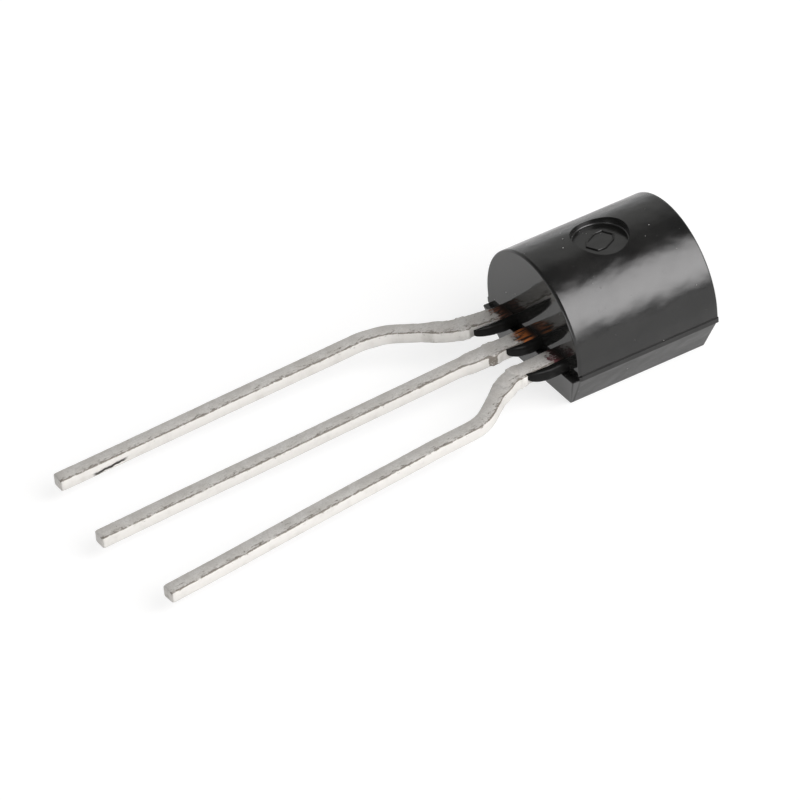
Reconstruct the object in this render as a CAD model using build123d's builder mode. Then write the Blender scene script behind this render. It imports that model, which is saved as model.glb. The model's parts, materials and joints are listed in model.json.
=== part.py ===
"""Three-lead moulded transistor, TO-92 outline, with its outer leads formed outwards.

Millimetres.  The part lies on its flat: the flat is on Z = 0, +Y runs from the leads
into the body, and the origin is the middle of the flat.
"""
import os
from math import radians, tan

from build123d import *

# moulded body
body_length = 4.46          # along Y, over the round half
body_depth = 3.70           # flat to the top of the round back
back_radius = 2.29
flat_width = 3.52
parting_height = 1.04       # where the two mould halves meet, and the leads lie
skirt_width = 4.52          # front half at the parting plane
front_step = 0.20           # front half stands out past the round half, lead end
end_draft = 10.0            # slope of the front half's end faces, degrees
ledge_height = 0.13         # mould ledge on both sides, above the parting plane
ledge_out = 0.04
flat_edge_radius = 0.08
end_edge_radius = 0.06      # rim of the round half's end faces
mark_diameter = 1.60        # ejector pin's mark in the round back
mark_depth = 0.22
mark_offset = 0.12          # its centre, off the middle plane

# leads, outside
lead_thickness = 0.36
lead_width = 0.44
root_pitch = 1.27           # lead pitch at the body
shoulder_width = 0.56       # wider root of each lead
shoulder_length = 1.95
bar_stub_width = 0.68       # what the trim tool left of the dam bar
bar_stub_height = 0.30
bar_distance = 1.30         # lead-end face to the dam bar's middle
bend_radius = 1.40
middle_length = 13.45       # lead-end face to tip
outer_length = 13.15
collector_bend_start = 1.12
collector_bend_end = 3.48
collector_spread = 1.53     # sideways shift over the bend
emitter_bend_start = 1.35
emitter_bend_end = 3.20
emitter_spread = 1.10
emitter_splay = 4.2         # the emitter lead then leans outwards, degrees
droop = 2.4                 # leads slope down from the body, degrees

# lead frame, inside
post_depth = 1.50           # lead-end face to the inner end of a post
post_width = 0.80
post_length = 0.75
paddle_gap = 0.35           # posts to paddle
paddle_length = 1.65
paddle_width = 2.60
lock_hole_diameter = 0.40   # resin locks the paddle through it
lock_hole_edge = 0.25       # hole's edge to the paddle's outer edges

# die and wires
die_size = 0.46
die_thickness = 0.20
attach_thickness = 0.02
attach_margin = 0.05
pad_spacing = 0.22          # base pad to emitter pad
wire_diameter = 0.05
wire_rise = 0.30            # top of the loop's knee above the die
wire_knee_radius = 0.12
ball_diameter = 0.11
ball_height = 0.03

# resin fins
fin_length = 1.15           # thin resin left beside each lead
fin_width = 0.20
fin_tip_width = 0.05

# derived
lead_face = -body_length / 2
arc_height = body_depth - back_radius
ledge_top = parting_height + ledge_height
ledge_half_width = back_radius + ledge_out
lead_bottom = parting_height
lead_top = lead_bottom + lead_thickness
post_end = lead_face + post_depth
paddle_start = post_end + paddle_gap
die_y = paddle_start + paddle_length / 2
attach_top = lead_top + attach_thickness
die_top = attach_top + die_thickness
paddle_left = -root_pitch - shoulder_width / 2
paddle_middle = paddle_left + paddle_width / 2
reach = 3 * (middle_length + body_length)      # longer than anything it cuts


# shared outlines
def lead_strip(root_x, length, bend_start=0.0, bend_end=0.0, shift=0.0, splay=0.0):
    """Plan of one lead from its paddle or post to its tip."""
    bent_x = root_x + shift
    tip_x = bent_x + (length - bend_end) * tan(radians(splay))
    inner = (root_x, post_end)
    tip = (tip_x, lead_face - length)
    with BuildLine() as centre:
        if shift:
            first = (root_x, lead_face - bend_start)
            second = (bent_x, lead_face - bend_end)
            FilletPolyline(inner, first, second, tip, radius=bend_radius)
        else:
            Line(inner, tip)
    with BuildSketch() as strip:
        trace(centre.edges(), shoulder_width)
        with Locations((0, lead_face - shoulder_length)):
            Rectangle(reach, reach, align=(Align.CENTER, Align.MIN), mode=Mode.INTERSECT)
        trace(centre.edges(), lead_width)
        with Locations((root_x, lead_face - bar_distance)):
            Rectangle(bar_stub_width, bar_stub_height)
    return strip.sketch


with BuildSketch(Plane.YZ) as lead_side:       # thickness of a lead, seen along X
    slope_start = lead_face - front_step
    slope_end = lead_face - reach
    fall = (slope_start - slope_end) * tan(radians(droop))
    with BuildLine():
        Polyline(
            (reach, lead_bottom),
            (slope_start, lead_bottom),
            (slope_end, lead_bottom - fall),
            (slope_end, lead_top - fall),
            (slope_start, lead_top),
            (reach, lead_top),
            close=True,
        )
    make_face()

# base lead
base_strip = lead_strip(0, middle_length)
with BuildPart() as base_lead:
    with BuildSketch():
        add(base_strip)
        with Locations((0, post_end)):
            Rectangle(post_width, post_length, align=(Align.CENTER, Align.MAX))
    extrude(amount=reach, both=True)
    add(extrude(lead_side.sketch, reach, both=True, mode=Mode.PRIVATE), mode=Mode.INTERSECT)
base_lead.part.label = "base_lead"

# emitter lead
emitter_strip = lead_strip(
    root_pitch, outer_length, emitter_bend_start, emitter_bend_end, emitter_spread, emitter_splay
)
with BuildPart() as emitter_lead:
    with BuildSketch():
        add(emitter_strip)
        with Locations((root_pitch, post_end)):
            Rectangle(post_width, post_length, align=(Align.CENTER, Align.MAX))
    extrude(amount=reach, both=True)
    add(extrude(lead_side.sketch, reach, both=True, mode=Mode.PRIVATE), mode=Mode.INTERSECT)
emitter_lead.part.label = "emitter_lead"

# collector lead and paddle
collector_strip = lead_strip(
    -root_pitch, outer_length, collector_bend_start, collector_bend_end, -collector_spread
)
with BuildPart() as collector_lead:
    with BuildSketch():
        add(collector_strip)
        with Locations((paddle_left, post_end)):
            Rectangle(shoulder_width, paddle_gap, align=(Align.MIN, Align.MIN))
        with Locations((paddle_left, paddle_start)):
            Rectangle(paddle_width, paddle_length, align=(Align.MIN, Align.MIN))
        lock_inset = lock_hole_edge + lock_hole_diameter / 2
        with Locations((paddle_left + lock_inset, paddle_start + paddle_length - lock_inset)):
            Circle(lock_hole_diameter / 2, mode=Mode.SUBTRACT)
    extrude(amount=reach, both=True)
    add(extrude(lead_side.sketch, reach, both=True, mode=Mode.PRIVATE), mode=Mode.INTERSECT)
collector_lead.part.label = "collector_lead"

# die and its attach layer
with BuildPart() as die_attach:
    with BuildSketch(Plane.XY.offset(lead_top)):
        with Locations((paddle_middle, die_y)):
            Rectangle(die_size + 2 * attach_margin, die_size + 2 * attach_margin)
    extrude(amount=attach_thickness)
die_attach.part.label = "die_attach"

with BuildPart() as silicon_die:
    with BuildSketch(Plane.XY.offset(attach_top)):
        with Locations((paddle_middle, die_y)):
            Rectangle(die_size, die_size)
    extrude(amount=die_thickness)
silicon_die.part.label = "silicon_die"


# bond wires
def bond_wire(pad_x, post_x):
    """Ball on the die's pad, and a loop that comes down on the lead's post."""
    post_y = post_end - post_length / 2
    run = Vector(post_x - pad_x, post_y - die_y, 0)
    loop_plane = Plane(
        origin=(pad_x, die_y, die_top), x_dir=run, z_dir=run.cross(Vector(0, 0, 1))
    )
    fall = (wire_rise + die_top - lead_top) / run.length
    past = 2 * wire_diameter                    # runs on below the post, then cut flush
    with BuildPart() as wire:
        with BuildLine(loop_plane) as loop:
            FilletPolyline(
                (0, ball_height),
                (0, wire_rise),
                (run.length + past, lead_top - die_top - past * fall),
                radius=wire_knee_radius,
            )
        with BuildSketch(Plane(origin=loop.line @ 0, z_dir=loop.line % 0)):
            Circle(wire_diameter / 2)
        sweep(path=loop.line)
        split(bisect_by=Plane.XY.offset(lead_top), keep=Keep.TOP)
        with Locations((pad_x, die_y, die_top)):
            Cylinder(
                ball_diameter / 2, ball_height, align=(Align.CENTER, Align.CENTER, Align.MIN)
            )
    return wire


base_bond_wire = bond_wire(paddle_middle - pad_spacing / 2, 0)
base_bond_wire.part.label = "base_bond_wire"

emitter_bond_wire = bond_wire(paddle_middle + pad_spacing / 2, root_pitch)
emitter_bond_wire.part.label = "emitter_bond_wire"

# moulded body
fin_roots = [
    -root_pitch + shoulder_width / 2,
    shoulder_width / 2,
    root_pitch + shoulder_width / 2,
]
draft_in = parting_height * tan(radians(end_draft))

with BuildPart() as epoxy_body:
    with BuildSketch(Plane.XZ):                 # section across the leads
        with BuildLine():
            Polyline(
                (0, 0),
                (flat_width / 2, 0),
                (skirt_width / 2, parting_height),
                (ledge_half_width, parting_height),
                (ledge_half_width, ledge_top),
                (back_radius, ledge_top),
                (back_radius, arc_height),
            )
            CenterArc((0, arc_height), back_radius, 0, 90)
            mirror(about=Plane.YZ)
        make_face()
    extrude(amount=reach, both=True)

    with BuildSketch(Plane.YZ):                 # seen from the side: step and drafted ends
        with BuildLine():
            Polyline(
                (lead_face - front_step + draft_in, 0),
                (lead_face - front_step, parting_height),
                (lead_face, parting_height),
                (lead_face, reach),
                (-lead_face, reach),
                (-lead_face, parting_height),
                (-lead_face - draft_in, 0),
                close=True,
            )
        make_face()
    extrude(amount=reach, both=True, mode=Mode.INTERSECT)

    fillet(epoxy_body.edges().filter_by(GeomType.CIRCLE), end_edge_radius)
    fillet(epoxy_body.edges().group_by(Axis.Z)[0], flat_edge_radius)

    with Locations((mark_offset, 0, body_depth - mark_depth)):
        Cylinder(
            mark_diameter / 2, reach, align=(Align.CENTER, Align.CENTER, Align.MIN),
            mode=Mode.SUBTRACT,
        )

    with BuildSketch(Plane.XY.offset(lead_bottom)):              # resin beside the leads
        for root in fin_roots:
            with BuildLine():
                Polyline(
                    (root, lead_face + fin_width),
                    (root + fin_width, lead_face + fin_width),
                    (root + fin_width, lead_face - front_step),
                    (root + fin_tip_width, lead_face - fin_length),
                    (root, lead_face - fin_length),
                    close=True,
                )
            make_face()
    extrude(amount=lead_thickness)

    for insert in (base_lead, emitter_lead, collector_lead, die_attach, silicon_die,
                   base_bond_wire, emitter_bond_wire):
        add(insert.part, mode=Mode.SUBTRACT)    # moulded tight around them
epoxy_body.part.label = "epoxy_body"

# files
os.makedirs("parts", exist_ok=True)
export_step(base_lead.part, "parts/base_lead.step")
export_step(emitter_lead.part, "parts/emitter_lead.step")
export_step(collector_lead.part, "parts/collector_lead.step")
export_step(die_attach.part, "parts/die_attach.step")
export_step(silicon_die.part, "parts/silicon_die.step")
export_step(base_bond_wire.part, "parts/base_bond_wire.step")
export_step(emitter_bond_wire.part, "parts/emitter_bond_wire.step")
export_step(epoxy_body.part, "parts/epoxy_body.step")
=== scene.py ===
import json
import math

import bmesh
import bpy
from mathutils import Matrix, Vector, noise

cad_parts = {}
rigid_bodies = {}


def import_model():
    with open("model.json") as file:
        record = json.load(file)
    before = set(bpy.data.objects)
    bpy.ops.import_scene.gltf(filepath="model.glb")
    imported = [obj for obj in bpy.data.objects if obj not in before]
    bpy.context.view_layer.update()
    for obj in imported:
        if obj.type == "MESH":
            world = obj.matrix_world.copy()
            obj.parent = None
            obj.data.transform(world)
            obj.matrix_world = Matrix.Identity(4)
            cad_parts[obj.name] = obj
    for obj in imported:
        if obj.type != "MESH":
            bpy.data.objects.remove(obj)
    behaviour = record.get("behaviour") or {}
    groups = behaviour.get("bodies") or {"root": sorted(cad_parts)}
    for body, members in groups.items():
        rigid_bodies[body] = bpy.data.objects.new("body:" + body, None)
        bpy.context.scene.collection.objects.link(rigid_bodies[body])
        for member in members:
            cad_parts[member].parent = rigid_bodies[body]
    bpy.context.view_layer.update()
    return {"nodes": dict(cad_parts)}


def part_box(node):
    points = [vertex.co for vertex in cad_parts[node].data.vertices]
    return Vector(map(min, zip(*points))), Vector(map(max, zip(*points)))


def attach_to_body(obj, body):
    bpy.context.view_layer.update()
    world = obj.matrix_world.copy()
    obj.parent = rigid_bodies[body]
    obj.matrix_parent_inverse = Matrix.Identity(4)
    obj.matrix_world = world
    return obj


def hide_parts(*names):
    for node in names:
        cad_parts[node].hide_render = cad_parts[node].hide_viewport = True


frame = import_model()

mm = 0.001
scene = bpy.context.scene


# shader helpers

class Link:
    # one shader socket; arithmetic on it adds Math nodes
    def __init__(self, finish, socket):
        self.finish = finish
        self.socket = socket

    def math(self, kind, *values):
        return self.finish.add("ShaderNodeMath", {"operation": kind}, dict(enumerate(values)))

    def __add__(self, other):
        return self.math("ADD", self, other)

    def __radd__(self, other):
        return self.math("ADD", other, self)

    def __sub__(self, other):
        return self.math("SUBTRACT", self, other)

    def __rsub__(self, other):
        return self.math("SUBTRACT", other, self)

    def __mul__(self, other):
        return self.math("MULTIPLY", self, other)

    def __rmul__(self, other):
        return self.math("MULTIPLY", other, self)

    def __truediv__(self, other):
        return self.math("DIVIDE", self, other)

    def most(self, other):
        return self.math("MAXIMUM", self, other)

    def size(self):
        return self.math("ABSOLUTE", self)

    def step(self, low, high, start=0.0, end=1.0):
        # start up to low, end from high on, smooth between
        return self.finish.add(
            "ShaderNodeMapRange", {"interpolation_type": "SMOOTHSTEP"},
            {"Value": self, "From Min": low, "From Max": high, "To Min": start, "To Max": end})


class Finish:
    # builds the nodes of one material, or of the node tree given
    def __init__(self, name="", tree=None):
        self.material = None if tree else bpy.data.materials.new(name)
        if self.material:
            self.material.use_nodes = True
        self.tree = tree or self.material.node_tree
        self.tree.nodes.clear()

    def add(self, kind, settings=None, sockets=None, output=0):
        node = self.tree.nodes.new(kind)
        for key, value in (settings or {}).items():
            setattr(node, key, value)
        for key, value in (sockets or {}).items():
            if isinstance(value, Link):
                self.tree.links.new(value.socket, node.inputs[key])
            else:
                node.inputs[key].default_value = value
        return Link(self, node.outputs[output])

    def place(self):
        return self.add("ShaderNodeTexCoord", output="Object")

    def axes(self, vector):
        return [self.add("ShaderNodeSeparateXYZ", {}, {0: vector}, output=i) for i in range(3)]

    def stretched(self, vector, factors):
        return self.add("ShaderNodeVectorMath", {"operation": "MULTIPLY"}, {0: vector, 1: factors})

    def dot(self, vector, direction):
        values = {0: vector, 1: Vector(direction).normalized()}
        return self.add("ShaderNodeVectorMath", {"operation": "DOT_PRODUCT"}, values, output=1)

    def noise(self, vector, perMm, detail=2.0, rough=0.5):
        return self.add("ShaderNodeTexNoise", {}, {
            "Vector": vector, "Scale": perMm / mm, "Detail": detail, "Roughness": rough})

    def cells(self, vector, perMm, output="Distance"):
        return self.add("ShaderNodeTexVoronoi", {}, {"Vector": vector, "Scale": perMm / mm}, output=output)

    def mix(self, mask, first, second):
        # colour mix; the colour sockets come after the float and vector ones
        return self.add("ShaderNodeMix", {"data_type": "RGBA"}, {0: mask, 6: first, 7: second}, output=2)

    def bump(self, height, depth, under=None):
        sockets = {"Height": height, "Distance": depth}
        if under:
            sockets["Normal"] = under
        return self.add("ShaderNodeBump", {}, sockets)

    def close(self, **sockets):
        named = {key.replace("_", " "): value for key, value in sockets.items()}
        shader = self.add("ShaderNodeBsdfPrincipled", {}, named)
        self.surface("ShaderNodeOutputMaterial", shader)
        return self.material

    def surface(self, kind, shader):
        target = self.tree.nodes.new(kind)
        self.tree.links.new(shader.socket, target.inputs["Surface"])


def rgb(red, green, blue):
    return (red, green, blue, 1.0)


# mesh helpers

def addPiece(name, meshData, material, standsFor=()):
    piece = bpy.data.objects.new(name, meshData)
    scene.collection.objects.link(piece)
    meshData.materials.clear()
    meshData.materials.append(material)
    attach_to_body(piece, "root")
    if standsFor:
        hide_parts(*standsFor)
    return piece


def toMesh(name, bm):
    bmesh.ops.recalc_face_normals(bm, faces=bm.faces)
    meshData = bpy.data.meshes.new(name)
    bm.to_mesh(meshData)
    bm.free()
    return meshData


def loft(rings, bm=None):
    # closed skin over rings of points, with a flat cap at both ends
    bm = bm or bmesh.new()
    loops = [[bm.verts.new(point) for point in ring] for ring in rings]
    count = len(loops[0])
    for a, b in zip(loops, loops[1:]):
        for i in range(count):
            j = (i + 1) % count
            bm.faces.new((a[i], a[j], b[j], b[i]))
    bm.faces.new(loops[0][::-1])
    bm.faces.new(loops[-1])
    return bm


def modified(target, kind, **settings):
    # adds a modifier and applies it
    modifier = target.modifiers.new(kind.lower(), kind)
    for key, value in settings.items():
        setattr(modifier, key, value)
    graph = bpy.context.evaluated_depsgraph_get()
    result = bpy.data.meshes.new_from_object(target.evaluated_get(graph))
    target.modifiers.clear()
    target.data = result


def tool(bm, name="tool"):
    # a loose solid for a boolean cut or join
    solid = bpy.data.objects.new(name, toMesh(name, bm))
    scene.collection.objects.link(solid)
    return solid


def joinOrCut(target, other, operation):
    modified(target, "BOOLEAN", object=other, operation=operation, solver="EXACT")
    bpy.data.objects.remove(other)


# moulded body

body = {
    "backRadius": 2.29 * mm,
    "flatWidth": 3.52 * mm,
    "skirtWidth": 4.52 * mm,         # front half where the two mould halves meet
    "partingHeight": 1.04 * mm,
    "ledgeHeight": 0.13 * mm,
    "ledgeOut": 0.04 * mm,
    "frontStep": 0.20 * mm,          # front half stands out past the round half, lead end
    "endDraft": 10.0,                # degrees
    "rimRadius": 0.05 * mm,          # rims of the round half's end faces
    "frontEdgeRadius": 0.04 * mm,
    "tongue": 0.06 * mm,             # how far the back half reaches into the front half
    "arcSteps": 120,
    "slices": 90,
    "sharpFrom": 32.0,               # edges bent by more than this stay sharp, degrees
}
mark = {
    "radius": 0.80 * mm,
    "depth": 0.26 * mm,
    "offset": 0.12 * mm,
    "fillet": 0.05 * mm,
    "corners": 72,
    "digitHeight": 0.82 * mm,
    "digitTurn": 28.0,
    "digitStroke": 0.028 * mm,
}
bodyLow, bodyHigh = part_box("epoxy_body")
farFace = bodyHigh.y
leadFace = -farFace              # the flat's middle is the origin
arcHeight = bodyHigh.z - body["backRadius"]
leadBottom = body["partingHeight"]


def backOutline():
    radius, ledge = body["backRadius"], body["backRadius"] + body["ledgeOut"]
    low, ledgeTop = body["partingHeight"], body["partingHeight"] + body["ledgeHeight"]
    tongue = 0.97 * body["skirtWidth"] / 2
    right = [(tongue, low - body["tongue"]), (tongue, low), (ledge, low),
             (ledge, ledgeTop), (radius, ledgeTop)]
    steps = body["arcSteps"]
    arc = [(radius * math.cos(math.pi * i / steps), arcHeight + radius * math.sin(math.pi * i / steps))
           for i in range(steps + 1)]
    left = [(-x, z) for x, z in reversed(right)]
    return right + arc + left


def backHalf():
    # slices along the body, closer together in the rounded rims of its two ends
    radius, rim, steps = body["backRadius"], body["rimRadius"], body["slices"]
    slices = [(leadFace + rim * (1 - math.cos(a)), rim * (1 - math.sin(a)))
              for a in [math.pi / 2 * i / 5 for i in range(6)]]
    inner = [(leadFace + rim + (farFace - leadFace - 2 * rim) * i / steps, 0.0) for i in range(1, steps)]
    slices += inner + [(-y, inset) for y, inset in reversed(slices)]
    outline = backOutline()
    rings = []
    for y, inset in slices:
        ring = []
        for x, z in outline:
            if z > arcHeight - 1e-9:
                out = Vector((x, z - arcHeight)).normalized()
                x, z = x - out.x * inset, z - out.y * inset
            else:
                x -= math.copysign(inset, x)
            ring.append((x, y, z))
        rings.append(ring)
    return loft(rings)


def frontHalf():
    low, high = body["flatWidth"] / 2, body["skirtWidth"] / 2
    parting = body["partingHeight"]
    lean = parting * math.tan(math.radians(body["endDraft"]))
    start, end = leadFace - body["frontStep"], farFace + 0.01 * mm
    bottom = [(-low, start + lean), (low, start + lean), (low, end - lean), (-low, end - lean)]
    top = [(-high, start), (high, start), (high, end), (-high, end)]
    rings = [[(x, y, 0.0) for x, y in bottom], [(x, y, parting) for x, y in top]]
    bm = loft(rings)
    bmesh.ops.bevel(bm, geom=bm.edges[:], offset=body["frontEdgeRadius"], segments=4, profile=0.5,
                    affect="EDGES", clamp_overlap=True)
    return bm


def markCutter():
    # round pin mark with a small fillet at its floor
    floorZ = bodyHigh.z - mark["depth"]
    radius, fillet = mark["radius"], mark["fillet"]
    heights = [(radius - fillet * (1 - math.sin(a)), floorZ + fillet * (1 - math.cos(a)))
               for a in [math.pi / 2 * i / 5 for i in range(6)]]
    heights.append((radius + 0.02 * mm, bodyHigh.z + 0.5 * mm))
    rings = []
    for ringRadius, z in heights:
        ring = []
        for i in range(mark["corners"]):
            t = 2 * math.pi * i / mark["corners"]
            ring.append((mark["offset"] + ringRadius * math.cos(t), ringRadius * math.sin(t), z))
        rings.append(ring)
    return loft(rings)


def markNumber():
    # a plain nought drawn in one thin raised stroke, its corners as the engraver cut them
    size, turn = mark["digitHeight"], Matrix.Rotation(math.radians(mark["digitTurn"]), 4, "Z")
    centre = Vector((mark["offset"], 0, bodyHigh.z - mark["depth"]))
    curve = bpy.data.curves.new("cavity_number", "CURVE")
    curve.dimensions = "3D"
    curve.bevel_depth = mark["digitStroke"]
    curve.bevel_resolution = 3
    stroke = curve.splines.new("POLY")
    outline = ((-0.22, -0.5), (0.22, -0.5), (0.36, -0.25), (0.36, 0.25), (0.22, 0.5), (-0.22, 0.5),
               (-0.36, 0.25), (-0.36, -0.25))
    stroke.points.add(len(outline) - 1)
    for point, (across, along) in zip(stroke.points, outline):
        place = centre + turn @ Vector((across * size, along * size, 0.3 * mark["digitStroke"]))
        point.co = (*place, 1.0)
    stroke.use_cyclic_u = True
    holder = bpy.data.objects.new("cavity_number", curve)
    scene.collection.objects.link(holder)
    graph = bpy.context.evaluated_depsgraph_get()
    solid = bpy.data.meshes.new_from_object(holder.evaluated_get(graph))
    bpy.data.objects.remove(holder)
    return solid


def bodyFinish(name, dust=1.0, gloss=1.0, shine=0.5):
    f = Finish(name)
    place = f.place()
    y = f.axes(place)[1]
    patches = f.noise(place, 0.9, 3.0, 0.6)
    fine = f.noise(place, 26.0, 3.0, 0.7)
    cloud = f.noise(f.stretched(place, (1.0, 0.55, 1.0)), 1.9, 5.0, 0.66)
    specks = (0.055 - f.cells(place, 2.6)).step(0.0, 0.02) * f.noise(place, 3.1, 1.0).step(0.44, 0.50)
    grains = (0.10 - f.cells(place, 9.0)).step(0.0, 0.03) * f.noise(place, 2.2, 2.0).step(0.58, 0.70)
    dirt = specks.most(grains * 0.55) * dust
    base = f.mix(patches.step(0.35, 0.7), rgb(0.0085, 0.0085, 0.0082), rgb(0.0135, 0.0133, 0.0126))
    color = f.mix(dirt, base, rgb(0.42, 0.42, 0.40))
    # the end face left the mould like glass; the round back is slightly clouded
    clouded = (y - leadFace).step(0.02 * mm, 0.10 * mm)
    matte = 0.04 + 0.4 * (1 - gloss)
    rough = clouded * cloud.step(0.35, 0.75, 0.09, 0.20) + fine * 0.03 + matte + dirt * 0.4
    swell = f.noise(f.stretched(place, (1.0, 0.7, 1.0)), 1.5, 1.6, 0.45)
    waves = f.bump(swell * (clouded * 0.95 + 0.05), 0.040 * mm)
    grit = f.bump(fine * (clouded * 0.85 + 0.15), 0.0014 * mm, waves)
    raised = f.bump(dirt, 0.02 * mm, grit)
    return f.close(Base_Color=color, Roughness=rough, IOR=1.60, Specular_IOR_Level=shine, Normal=raised)


epoxy = bodyFinish("moulded_epoxy")
bodyMesh = toMesh("moulded_body", backHalf())
bodyPiece = addPiece("moulded_body", bodyMesh, epoxy, ["epoxy_body"])
joinOrCut(bodyPiece, tool(frontHalf()), "UNION")
joinOrCut(bodyPiece, tool(markCutter()), "DIFFERENCE")
numberPiece = addPiece("cavity_number", markNumber(), epoxy)
for shown in (bodyPiece, numberPiece):
    shown.data.materials.clear()
    shown.data.materials.append(epoxy)
    shown.data.shade_smooth()
    shown.data.set_sharp_from_angle(angle=math.radians(body["sharpFrom"]))
    modified(shown, "WEIGHTED_NORMAL", keep_sharp=True, weight=80)
print("moulded body:", len(bodyPiece.data.polygons), "faces")


# resin fins beside the leads

rootPitch = 1.27 * mm
shoulderWidth = 0.56 * mm
leadThickness = 0.36 * mm
fins = {
    "steps": 60,                     # rings along a fin
    "corners": 32,
    "squareness": 3.0,
    "buried": 0.15 * mm,             # how far each fin runs back into the body
    "width": (0.20 * mm, 0.21 * mm, 0.24 * mm),
    "length": (1.24 * mm, 1.00 * mm, 1.18 * mm),
    "tip": (0.62, 0.50, 0.45),       # share of the length that narrows
}


def resinFin(index):
    rootX = (index - 1) * rootPitch + shoulderWidth / 2 - 0.02 * mm
    length, width, tip = fins["length"][index], fins["width"][index], fins["tip"][index]
    power, rings = fins["squareness"], []
    for i in range(fins["steps"] + 1):
        share = math.sin(math.pi / 2 * i / fins["steps"])       # stations crowd towards the tip
        y = leadFace + fins["buried"] - share * (length + fins["buried"])
        toTip = max(0.0, (share - (1 - tip)) / tip)
        full = max(0.05, math.sqrt(max(0.0, 1 - toTip ** 1.5)))
        half = 0.5 * width * full * (1 + 0.10 * noise.noise((index * 3.7, share * 4.0, 0.0)))
        tall = 0.5 * leadThickness * (0.45 + 0.55 * full)
        middle = Vector((rootX + half, y, leadBottom + leadThickness - tall - 0.012 * mm))
        ring = []
        for k in range(fins["corners"]):
            a = 2 * math.pi * k / fins["corners"]
            c, s = math.cos(a), math.sin(a)
            cornered = (abs(c) ** power + abs(s) ** power) ** (-1 / power)
            point = middle + Vector((c * cornered * half, 0, s * cornered * tall))
            rough = noise.noise(point / (0.16 * mm) + Vector((index * 3.7, 0, 0))) * 0.006 * mm
            ring.append(point + Vector((c, 0, s)) * rough)
        rings.append(ring)
    return loft(rings)


finFinish = bodyFinish("broken_resin", dust=0.0, gloss=0.70, shine=0.07)
for index in range(3):
    name = f"resin_fin_{index + 1}"
    fin = addPiece(name, toMesh(name, resinFin(index)), finFinish)
    fin.data.shade_smooth()
print("resin fins: 3")


# leads

lead = {
    "width": 0.44 * mm,
    "shoulderLength": 1.95 * mm,
    "stubOut": 0.06 * mm,            # what the trim tool left of the dam bar
    "stubDistance": 1.30 * mm,
    "stubHeight": 0.30 * mm,
    "bendRadius": 1.20 * mm,
    "droop": 2.4,                    # slope down from the body, degrees
    "corner": 0.035 * mm,            # radius of the upper edges
    "station": 0.045 * mm,
    "inside": 1.50 * mm,             # lead face to the inner end of a post
    "postWidth": 0.80 * mm,
    "postLength": 0.75 * mm,
    "paddleWidth": 2.60 * mm,
    "paddleLength": 1.65 * mm,
    "plateBevel": 0.02 * mm,
}
# bends: distance from the body and sideways offset there, in mm; splay: lean of the rest, in degrees
leads = {
    "collector_lead": {
        "rootX": -rootPitch, "length": 13.15 * mm, "splay": 0.0, "seed": 1.0,
        "bends": ((0.25, 0.0), (1.55, -0.27), (3.05, -1.36), (3.75, -1.53)),
        "copper": rgb(0.22, 0.085, 0.050), "copperTo": 0.42, "barScar": False,
        "scratch": (0.90, 1.95)},        # from the tip, in mm
    "base_lead": {
        "rootX": 0.0, "length": 13.45 * mm, "splay": 0.36, "seed": 5.0,
        "bends": ((0.50, 0.0), (2.40, -0.08)),
        "copper": rgb(0.62, 0.20, 0.055), "copperTo": 0.50, "barScar": True,
        "scratch": None},
    "emitter_lead": {
        "rootX": rootPitch, "length": 13.15 * mm, "splay": 4.2, "seed": 9.0,
        "bends": ((1.50, 0.0), (2.20, 0.43), (3.12, 1.16), (4.60, 1.20)),
        "copper": rgb(0.17, 0.045, 0.055), "copperTo": 0.30, "barScar": False,
        "scratch": None},
}


def centrePath(one):
    # (x, distance from the lead face) along the lead, its bends rounded
    points = [Vector((one["rootX"], -lead["inside"]))]
    points += [Vector((one["rootX"] + offset * mm, distance * mm)) for distance, offset in one["bends"]]
    away = (one["length"] - points[-1].y) * math.tan(math.radians(one["splay"]))
    points.append(Vector((points[-1].x + away, one["length"])))
    path = [points[0]]
    for before, corner, after in zip(points, points[1:], points[2:]):
        into, out = corner - before, after - corner
        turn = into.angle(out)
        reach = min(lead["bendRadius"] * math.tan(turn / 2), 0.48 * into.length, 0.48 * out.length)
        start, end = corner - into.normalized() * reach, corner + out.normalized() * reach
        for i in range(13):
            t = i / 12
            path.append(start.lerp(corner, t).lerp(corner.lerp(end, t), t))
    path.append(points[-1])
    return path


def walk(path, spacing):
    # evenly spaced points on the path, with the direction there
    lengths = [(b - a).length for a, b in zip(path, path[1:])]
    count = round(sum(lengths) / spacing)
    gap = sum(lengths) / count
    places, part, used = [], 0, 0.0
    for i in range(count + 1):
        goal = i * gap
        while part < len(lengths) - 1 and goal > used + lengths[part]:
            used += lengths[part]
            part += 1
        a, b = path[part], path[part + 1]
        t = min(1.0, (goal - used) / lengths[part])
        places.append((a.lerp(b, t), (b - a).normalized()))
    return places


def smooth(low, high, value):
    t = min(1.0, max(0.0, (value - low) / (high - low)))
    return t * t * (3 - 2 * t)


def halfWidth(distance, side, seed):
    shoulder = 1 - smooth(lead["shoulderLength"] - 0.05 * mm, lead["shoulderLength"] + 0.35 * mm, distance)
    half = 0.5 * (lead["width"] + (shoulderWidth - lead["width"]) * shoulder)
    off = abs(distance - lead["stubDistance"]) / (0.5 * lead["stubHeight"])
    stub = 1 - smooth(0.75, 1.15, off)
    torn = 0.75 + 0.5 * noise.noise((seed * 3.1 + side, distance / (0.05 * mm), 0.0))
    return half + lead["stubOut"] * stub * torn


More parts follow.
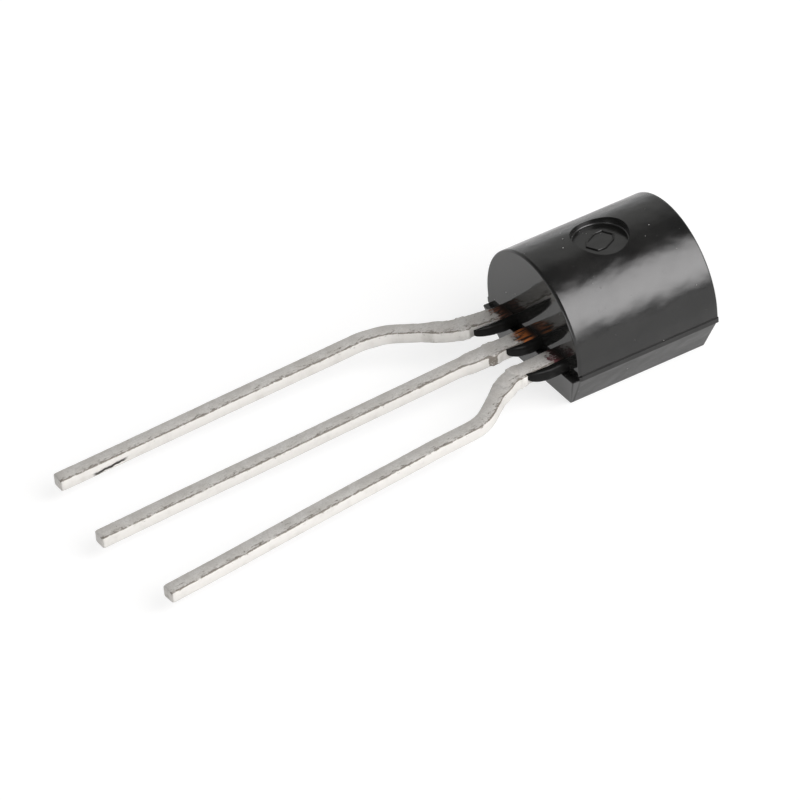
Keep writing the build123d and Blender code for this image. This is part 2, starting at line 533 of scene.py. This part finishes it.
def leadSkin(one):
    # 20 points a station, five round each corner, starting at the upper right one
    seed, corner = one["seed"], lead["corner"]
    slope = math.tan(math.radians(lead["droop"]))
    rings = []
    for place, along in walk(centrePath(one), lead["station"]):
        distance = place.y
        drop = max(0.0, distance - body["frontStep"]) * slope
        sway = 0.010 * mm * noise.noise((seed, distance / (2.6 * mm), 4.0))
        lift = 0.012 * mm * noise.noise((seed, distance / (3.1 * mm), 9.0))
        outside = smooth(0.0, 0.3 * mm, distance)
        middle = Vector((place.x + sway * outside, leadFace - distance,
                         leadBottom + leadThickness / 2 - drop + lift * outside))
        across = Vector((along.y, along.x, 0.0))     # to +X, square to the lead
        halfHigh = leadThickness / 2
        ring = []
        for sideX, sideZ, turn in ((1, 1, 0), (-1, 1, 90), (-1, -1, 180), (1, -1, 270)):
            half = halfWidth(distance, sideX, seed)
            # punched from above: the lower edges are rounder than the upper ones
            radius = corner * (1.0 if sideZ > 0 else 1.7)
            for k in range(5):
                a = math.radians(turn + 90 * k / 4)
                u = sideX * (half - radius) + radius * math.cos(a)
                w = sideZ * (halfHigh - radius) + radius * math.sin(a)
                spot = Vector((u, distance, w))
                torn = 1 + 2.5 * (1 - smooth(0.25 * mm, 0.9 * mm, abs(distance - 1.7 * mm)))
                rough = noise.noise(spot / (0.12 * mm) + Vector((seed * 7, 0, 0))) * 0.0025 * mm * torn
                edge = noise.noise(spot / (0.05 * mm) + Vector((0, seed * 5, 0))) * 0.0045 * mm * torn
                out = Vector((math.cos(a), 0, math.sin(a)))
                shift = rough + (edge if k in (1, 2, 3) and sideZ > 0 else 0.0)
                ring.append(middle + across * (u + out.x * shift) + Vector((0, 0, w + out.z * shift)))
        rings.append(ring)
    # the shear leaves the tip slightly drawn in
    for back, share in ((0, 0.92), (1, 0.985)):
        ring = rings[-1 - back]
        centre = sum(ring, Vector()) / len(ring)
        rings[-1 - back] = [centre + (point - centre) * share for point in ring]
    return loft(rings)


def markEdges(data, one):
    # a dark line, strongest on the upper right corner of the skin
    shares = {0: 0.55, 1: 1.0, 2: 1.0, 3: 1.0, 4: 0.72, 5: 0.15, 6: 0.3, 7: 0.3}
    attribute = data.attributes.new("darkCornerLine", "FLOAT", "POINT")
    torn = {18: 0.9, 19: 1.0, 0: 1.0}        # and down the right side where the dam bar was cut off
    for station, (place, along) in enumerate(walk(centrePath(one), lead["station"])):
        atBar = one["barScar"] and abs(place.y - lead["stubDistance"] - 0.12 * mm) < 0.14 * mm
        for k in range(20):
            share = shares.get(k, 0.0)
            attribute.data[station * 20 + k].value = max(share, torn.get(k, 0.0)) if atBar else share


def plate(outline, bm):
    # flat part of the lead frame inside the body
    low = [(x, y, leadBottom) for x, y in outline]
    high = [(x, y, leadBottom + leadThickness) for x, y in outline]
    part = loft([low, high])
    bmesh.ops.bevel(part, geom=part.edges[:], offset=lead["plateBevel"], segments=2, profile=0.5,
                     affect="EDGES")
    holder = bpy.data.meshes.new("plate")
    part.to_mesh(holder)
    part.free()
    bm.from_mesh(holder)
    bpy.data.meshes.remove(holder)


def innerPart(name, one, bm):
    end = leadFace + lead["inside"]
    if name == "collector_lead":
        # the die paddle ends where the CAD lead does
        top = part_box(name)[1].y
        start = top - lead["paddleLength"]
        left = -rootPitch - shoulderWidth / 2
        right = left + lead["paddleWidth"]
        arm, armStart = left + shoulderWidth, end - 0.05 * mm
        plate([(left, armStart), (arm, armStart), (arm, start),
               (right, start), (right, top), (left, top)], bm)
    else:
        half = lead["postWidth"] / 2
        x, low = one["rootX"], end - lead["postLength"]
        plate([(x - half, low), (x + half, low), (x + half, end), (x - half, end)], bm)


def leadFinish(name, one):
    f = Finish(name)
    place = f.place()
    x, y, z = f.axes(place)
    run = f.stretched(place, (1.0, 0.16, 1.0))
    streaks = f.noise(run, 14.0, 4.0, 0.65)
    blotches = f.noise(place, 2.4, 4.0, 0.62)
    pits = f.noise(place, 22.0, 3.0, 0.7)
    specks = (0.16 - f.cells(place, 6.5)).step(0.0, 0.05) * f.noise(place, 1.7, 2.0).step(0.55, 0.68)
    edge = f.add("ShaderNodeAttribute", {"attribute_name": "darkCornerLine"}, output="Fac")
    # side faces of the lead, picked out by their normal, where painted light goes
    paintedSideLight = f.axes(f.add("ShaderNodeTexCoord", output="Normal"))[0].size().step(0.55, 0.90)
    grit = f.noise(f.stretched(place, (1.0, 0.4, 1.0)), 13.0, 4.0, 0.75)
    raggedDarkLine = (edge + (grit - 0.5) * 1.9).step(0.62, 0.95)
    tin = f.mix(blotches.step(0.35, 0.68), rgb(0.570, 0.550, 0.520), rgb(0.665, 0.650, 0.625))
    tin = f.mix(streaks.step(0.50, 0.78) * 0.35, tin, rgb(0.40, 0.38, 0.35))
    tin = f.mix(specks * 0.7, tin, rgb(0.20, 0.17, 0.14))
    tin = f.mix(pits.step(0.42, 0.62) * 0.34, tin, rgb(0.42, 0.40, 0.37))
    # painted reflection: the side faces are drawn lighter, as the white floor lights them
    tin = f.mix(paintedSideLight * blotches.step(0.20, 0.55, 0.45, 0.95), tin, rgb(0.71, 0.695, 0.665))
    # the skin's upper right corner drawn as a dark ragged line
    tin = f.mix(raggedDarkLine, tin, rgb(0.19, 0.17, 0.145))
    # bare copper where the lead leaves the body, with dark streaks, and darker still within 0.3 mm of the
    # body
    out = (leadFace - y) / mm
    torn = out + f.noise(place, 5.5, 4.0, 0.7) * 0.9 - 0.45
    root = 1 - torn.step(one["copperTo"] - 0.10, one["copperTo"] + 0.10)
    # dark streaks on the copper, and a dark band from the body out to 0.05 to 0.3 mm
    darkerCopperMask = f.noise(run, 11.0, 3.0).step(0.40, 0.58).most(1 - out.step(0.05, 0.30))
    copperTone = f.mix(darkerCopperMask, one["copper"], rgb(0.030, 0.018, 0.014))
    color = f.mix(root, tin, copperTone)
    rough = streaks.step(0.3, 0.75, 0.36, 0.52) + specks * 0.2 + edge * 0.25
    bumped = f.bump(streaks, 0.005 * mm)
    bumped = f.bump(pits, 0.004 * mm, bumped)
    if one["scratch"]:
        start, end = one["scratch"]
        fromTip = (y - (leadFace - one["length"])) / mm
        zone = fromTip.step(start, start + 0.15) * (1 - fromTip.step(end - 0.1, end + 0.1))
        line = z / mm - 0.56 - (fromTip * 0.10) + f.noise(place, 5.0, 2.0) * 0.08
        gouge = zone * (1 - line.size().step(0.02, 0.06)) * (x / mm + 2.68).step(0.0, 0.04)
        color = f.mix(gouge, color, rgb(0.035, 0.03, 0.025))
        bumped = f.bump(1 - gouge, 0.03 * mm, bumped)
    metal = (0.45 - paintedSideLight * 0.15) * (1 - edge) + root * 0.4
    return f.close(Base_Color=color, Metallic=metal, Roughness=rough, Normal=bumped)


for name, one in leads.items():
    bm = leadSkin(one)
    innerPart(name, one, bm)
    data = toMesh(name, bm)
    markEdges(data, one)
    piece = addPiece("formed_" + name, data, leadFinish("tin_" + name, one), [name])
    piece.data.shade_smooth()
    modified(piece, "WEIGHTED_NORMAL", keep_sharp=True, weight=60)
    print(piece.name + ":", len(piece.data.polygons), "faces")


# pieces sealed inside the body, which keep their CAD shapes

def plainFinish(name, dark, light, perMm, metallic, rough):
    f = Finish(name)
    grain = f.noise(f.place(), perMm, 3.0, 0.6)
    color = f.mix(grain.step(0.35, 0.65), dark, light)
    return f.close(Base_Color=color, Metallic=metallic, Roughness=grain.step(0.3, 0.7, rough, rough + 0.12),
                   Normal=f.bump(grain, 0.002 * mm))


silicon = plainFinish("polished_silicon", rgb(0.10, 0.11, 0.14), rgb(0.17, 0.18, 0.22), 18.0, 0.6, 0.12)
attach = plainFinish("silver_attach", rgb(0.42, 0.42, 0.40), rgb(0.62, 0.61, 0.58), 30.0, 0.7, 0.42)
gold = plainFinish("bond_gold", rgb(0.80, 0.56, 0.20), rgb(0.93, 0.70, 0.30), 25.0, 1.0, 0.18)
for node, finish in (("silicon_die", silicon), ("die_attach", attach),
                     ("base_bond_wire", gold), ("emitter_bond_wire", gold)):
    data = frame["nodes"][node].data
    data.materials.clear()
    data.materials.append(finish)
print("inner pieces: 4")


# floor, light and camera

studio = {
    "floorSize": 0.9,
    "floorHeight": -0.005 * mm,
    "floorColor": rgb(0.80, 0.80, 0.795),
    "floorGlow": 0.60,
    "mirroredGlow": 0.30,
    # one big soft window, up and to the right of the camera, painted into the sky
    "windowToward": (0.680, 0.380, 0.625),
    "windowWidth": (0.835, 0.985),   # cosine to its centre where it fades out, and where it's full
    "windowLight": 5.2,
    "lowToward": (0.870, 0.380, 0.315),
    "lowWidth": (0.80, 0.98),
    "lowLight": 0.7,
    "frontToward": (0.45, -0.88, 0.14),  # a low fill from the front right, for the near rim
    "frontWidth": (0.94, 0.99),
    "frontLight": 2.4,
    "tableEdge": (0.925, 0.380, 0.0),    # a dark strip low on the right, past the floor's edge
    "windowTone": rgb(1.0, 0.985, 0.99),
    "skyHorizon": rgb(0.98, 0.985, 1.0),
    "skyMiddle": rgb(0.52, 0.52, 0.51),
    "skyTop": rgb(0.10, 0.10, 0.10),
}
camera = {
    "lookAt": (-1.552 * mm, -5.615 * mm, -0.312 * mm),
    "azimuth": 61.806,
    "elevation": 36.562,
    "roll": -5.602,
    "distance": 0.160,
    "lens": 267.04,
}


def floorFinish():
    f = Finish("floor_white")
    seen, mirrored, through = [f.add("ShaderNodeLightPath", output=f"Is {kind} Ray")
                               for kind in ("Camera", "Glossy", "Transmission")]
    share = (seen * studio["floorGlow"]).most(mirrored.most(through) * studio["mirroredGlow"])
    matte = f.add("ShaderNodeBsdfDiffuse", {}, {"Color": studio["floorColor"]})
    white = f.add("ShaderNodeEmission", {}, {"Color": rgb(1, 1, 1), "Strength": 1.25})
    lifted = f.add("ShaderNodeMixShader", {}, {0: share, 1: matte, 2: white})
    f.surface("ShaderNodeOutputMaterial", lifted)
    return f.material


def addFloor():
    bm = bmesh.new()
    half = studio["floorSize"] / 2
    corners = [(-half, -half), (half, -half), (half, half), (-half, half)]
    bm.faces.new([bm.verts.new((x, y, studio["floorHeight"])) for x, y in corners])
    floor = bpy.data.objects.new("floor", toMesh("floor", bm))
    floor.data.materials.append(floorFinish())
    scene.collection.objects.link(floor)


def addSky():
    world = bpy.data.worlds.new("studio")
    scene.world = world
    world.use_nodes = True
    f = Finish(tree=world.node_tree)
    direction = f.add("ShaderNodeTexCoord", output="Generated")
    up = f.axes(direction)[2]
    left = f.dot(direction, (-0.74, 0.40, 0.54))
    shade = f.mix(up.step(0.02, 0.40), studio["skyHorizon"], studio["skyMiddle"])
    shade = f.mix(up.step(0.35, 0.80) * (1 - left.step(0.80, 1.0)), shade, studio["skyTop"])
    window = f.dot(direction, studio["windowToward"]).step(*studio["windowWidth"])
    low = f.dot(direction, studio["lowToward"]).step(*studio["lowWidth"]) * up.step(0.0, 0.10)
    strip = up.step(-0.02, 0.0) * (1 - up.step(0.035, 0.055))
    strip = strip * f.dot(direction, studio["tableEdge"]).step(0.90, 0.97)
    shade = f.mix(strip * 0.9, shade, studio["skyTop"])
    front = f.dot(direction, studio["frontToward"]).step(*studio["frontWidth"])
    light = window * studio["windowLight"] + low * studio["lowLight"] + front * studio["frontLight"]
    tone = studio["windowTone"][:3]
    glow = f.add("ShaderNodeVectorMath", {"operation": "SCALE"}, {0: tone, "Scale": light})
    lit = f.add("ShaderNodeVectorMath", {"operation": "ADD"}, {0: shade, 1: glow})
    seen = f.add("ShaderNodeLightPath", output="Is Camera Ray")
    shown = f.mix(seen, lit, rgb(1, 1, 1))
    sky = f.add("ShaderNodeBackground", {}, {"Color": shown, "Strength": 1.0})
    f.surface("ShaderNodeOutputWorld", sky)


def addCamera():
    azimuth, elevation = math.radians(camera["azimuth"]), math.radians(camera["elevation"])
    back = Vector((math.sin(azimuth) * math.cos(elevation), -math.cos(azimuth) * math.cos(elevation),
                   math.sin(elevation)))
    right = (-back).cross(Vector((0, 0, 1))).normalized()
    up = right.cross(-back)
    roll = math.radians(camera["roll"])
    across = right * math.cos(roll) + up * math.sin(roll)
    upward = up * math.cos(roll) - right * math.sin(roll)
    data = bpy.data.cameras.new("camera")
    data.lens = camera["lens"]
    data.clip_start, data.clip_end = 0.01, 5.0
    view = bpy.data.objects.new("camera", data)
    turn = Matrix((across, upward, back)).transposed().to_4x4()
    view.matrix_world = Matrix.Translation(Vector(camera["lookAt"]) + back * camera["distance"]) @ turn
    scene.collection.objects.link(view)
    scene.camera = view


addFloor()
addSky()
addCamera()
scene.view_settings.view_transform = "Standard"
print("studio ready")
